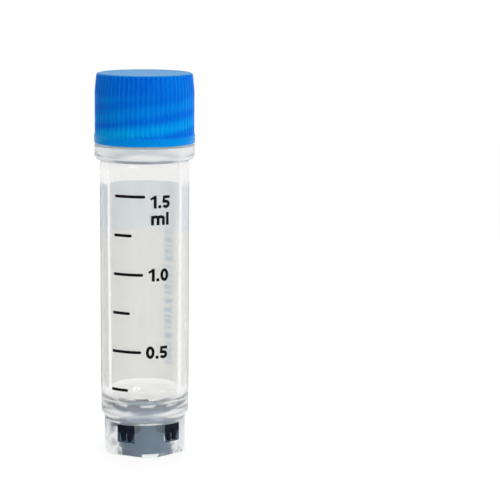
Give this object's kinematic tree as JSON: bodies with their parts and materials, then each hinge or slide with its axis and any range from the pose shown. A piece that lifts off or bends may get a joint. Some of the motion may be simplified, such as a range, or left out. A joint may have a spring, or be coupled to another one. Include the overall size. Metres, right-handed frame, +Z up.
{
  "type": "cryogenic storage vial",
  "caption": "Clear self-standing cryogenic vial with star foot, external thread, ribbed blue screw cap, seal ring, printed volume scale and black code insert in the foot.",
  "frame": {"origin": "centre of the foot, on the surface the vial stands on", "axes": "+Z up along the vial's axis; the printed scale faces -Y"},
  "size_m": [0.0126, 0.0126, 0.0476],
  "materials": {
    "clear_pp": "clear natural polypropylene, glossy, faintly hazy",
    "blue_pp": "translucent blue polypropylene, satin",
    "seal": "translucent silicone, matt",
    "black_pp": "black, satin"
  },
  "bodies": {
    "vial": {"vial_tube": "clear_pp", "code_insert": "black_pp"},
    "seal": {"seal_ring": "seal"},
    "cap": {"screw_cap": "blue_pp"}
  },
  "joints": [
    {"name": "cap_lift", "type": "slide", "parent": "vial", "child": "seal", "axis": [0, 0, 1], "range_m": [0, 0.006]},
    {"name": "cap_turn", "type": "hinge", "parent": "seal", "child": "cap", "pos_m": [0, 0, 0.0476], "axis": [0, 0, 1], "range_deg": [0, 470]}
  ],
  "couplings": [
    {"joint": "cap_turn", "follows": "cap_lift", "rad_per_m": 1365.9}
  ]
}
